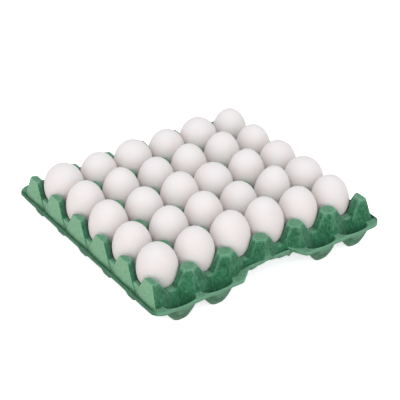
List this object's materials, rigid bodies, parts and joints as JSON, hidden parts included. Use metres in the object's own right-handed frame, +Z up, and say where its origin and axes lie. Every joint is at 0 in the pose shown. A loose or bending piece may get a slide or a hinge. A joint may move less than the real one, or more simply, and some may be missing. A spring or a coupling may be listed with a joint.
{
  "type": "egg carton with eggs",
  "caption": "Moulded-pulp egg tray filled with white hen's eggs, one standing in each cell between square posts, with a finger notch in each long side.",
  "frame": {"origin": "centre of the tray's outline, on the surface that it rests on", "axes": "+Z up; +X along the rows of six eggs, parallel to the two sides with half cells and a finger notch; +Y across them"},
  "size_m": [0.3, 0.294, 0.0713],
  "materials": {
    "pulp": "green dyed moulded paper pulp, rough and matt, with fibre flecks",
    "eggshell": "white eggshell, fine-pored, matt with a soft sheen"
  },
  "bodies": {
    "root": {"tray": "pulp", "egg_1_1": "eggshell", "egg_1_2": "eggshell", "egg_1_3": "eggshell", "egg_1_4": "eggshell", "egg_1_5": "eggshell", "egg_1_6": "eggshell", "egg_2_1": "eggshell", "egg_2_2": "eggshell", "egg_2_3": "eggshell", "egg_2_4": "eggshell", "egg_2_5": "eggshell", "egg_2_6": "eggshell", "egg_3_1": "eggshell", "egg_3_2": "eggshell", "egg_3_3": "eggshell", "egg_3_4": "eggshell", "egg_3_5": "eggshell", "egg_3_6": "eggshell", "egg_4_1": "eggshell", "egg_4_2": "eggshell", "egg_4_3": "eggshell", "egg_4_4": "eggshell", "egg_4_5": "eggshell", "egg_4_6": "eggshell", "egg_5_1": "eggshell", "egg_5_2": "eggshell", "egg_5_3": "eggshell", "egg_5_4": "eggshell", "egg_5_5": "eggshell", "egg_5_6": "eggshell"}
  },
  "joints": []
}
